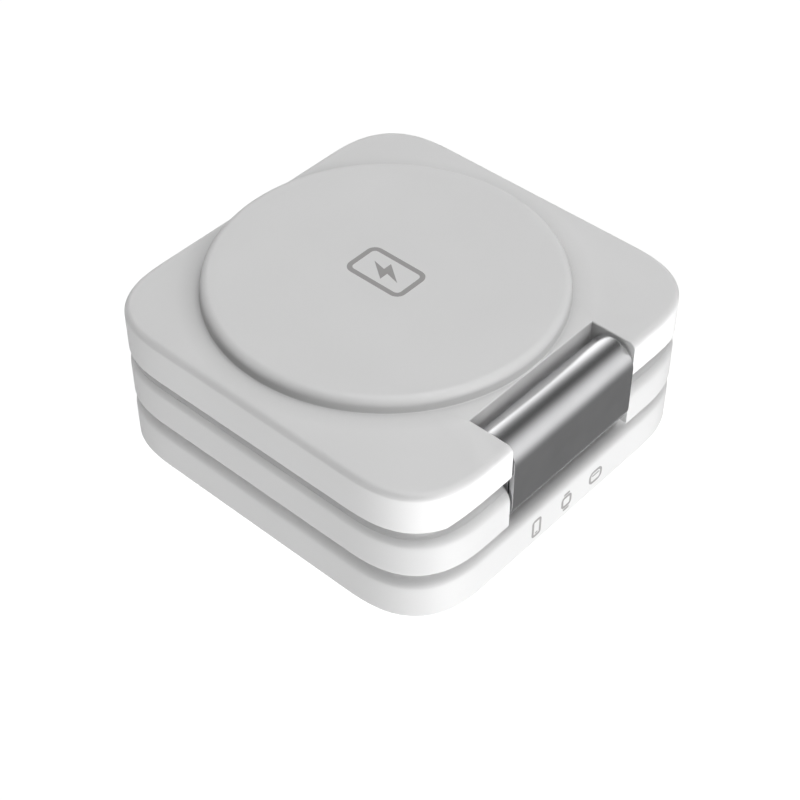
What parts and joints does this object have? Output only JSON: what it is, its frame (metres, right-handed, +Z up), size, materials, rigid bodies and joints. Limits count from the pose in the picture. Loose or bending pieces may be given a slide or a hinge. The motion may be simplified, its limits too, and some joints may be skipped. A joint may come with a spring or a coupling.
{
  "type": "foldable wireless charger",
  "caption": "Square folding charging pad: three stacked soft-cornered plates joined by metal hinge links, with a raised round phone disc on top.",
  "frame": {"origin": "centre of the base's footprint, on the surface the rubber feet stand on", "axes": "+Z up; X along the hinge axes; -Y towards the front link that joins the middle and top plates; +Y towards the rear link"},
  "size_m": [0.07, 0.0708, 0.0296],
  "materials": {
    "white_shell": "fine satin moulded white",
    "hinge_metal": "satin polished, dark silver",
    "steel": "plain stamped",
    "copper_wire": "enamelled copper winding",
    "ferrite": "dark sintered",
    "circuit_board": "solder mask",
    "chip": "moulded black",
    "rubber": "matt grey",
    "silicone_pad": "soft light grey silicone",
    "puck_face": "gloss white",
    "flex_lead": "amber film"
  },
  "bodies": {
    "base": {"base_housing": "white_shell", "base_bottom_cover": "white_shell", "earbud_pad": "silicone_pad", "ballast_plate": "steel", "main_board": "circuit_board", "power_chip": "chip", "earbud_coil": "copper_wire", "earbud_ferrite": "ferrite", "usb_c_shell": "steel", "usb_c_tongue": "chip", "base_bracket_left": "steel", "base_bracket_right": "steel", "foot_1": "rubber", "base_screw_1": "steel", "foot_2": "rubber", "base_screw_2": "steel", "foot_3": "rubber", "base_screw_3": "steel", "foot_4": "rubber", "base_screw_4": "steel"},
    "rear_link": {"rear_link_shell": "hinge_metal", "rear_link_cap_left": "hinge_metal", "rear_link_cap_right": "hinge_metal", "rear_lower_shaft": "steel", "rear_upper_shaft": "steel", "rear_link_flex": "flex_lead"},
    "middle": {"middle_tray": "white_shell", "middle_top_cover": "white_shell", "watch_puck": "puck_face", "watch_puck_ring": "hinge_metal", "watch_coil": "copper_wire", "watch_magnet": "steel", "watch_ferrite": "ferrite", "middle_board": "circuit_board", "middle_rear_bracket_left": "steel", "middle_rear_bracket_right": "steel", "middle_front_bracket_left": "steel", "middle_front_bracket_right": "steel"},
    "front_link": {"front_link_shell": "hinge_metal", "front_link_cap_left": "hinge_metal", "front_link_cap_right": "hinge_metal", "front_lower_shaft": "steel", "front_upper_shaft": "steel", "front_link_flex": "flex_lead"},
    "top": {"top_housing": "white_shell", "top_bottom_cover": "white_shell", "magnet_ring": "steel", "phone_coil": "copper_wire", "phone_ferrite": "ferrite", "shield_plate": "hinge_metal", "top_board": "circuit_board", "charge_chip": "chip", "top_bracket_left": "steel", "top_bracket_right": "steel"}
  },
  "joints": [
    {"name": "base_pivot", "type": "hinge", "parent": "base", "child": "rear_link", "pos_m": [0, 0.03115, 0.0053], "axis": [-1, 0, 0], "range_deg": [0, 90]},
    {"name": "rear_middle_pivot", "type": "hinge", "parent": "rear_link", "child": "middle", "pos_m": [0, 0.03115, 0.01335], "axis": [-1, 0, 0], "range_deg": [0, 90]},
    {"name": "front_middle_pivot", "type": "hinge", "parent": "middle", "child": "front_link", "pos_m": [0, -0.03115, 0.0143], "axis": [1, 0, 0], "range_deg": [0, 90]},
    {"name": "top_pivot", "type": "hinge", "parent": "front_link", "child": "top", "pos_m": [0, -0.03115, 0.02235], "axis": [1, 0, 0], "range_deg": [0, 90]}
  ]
}
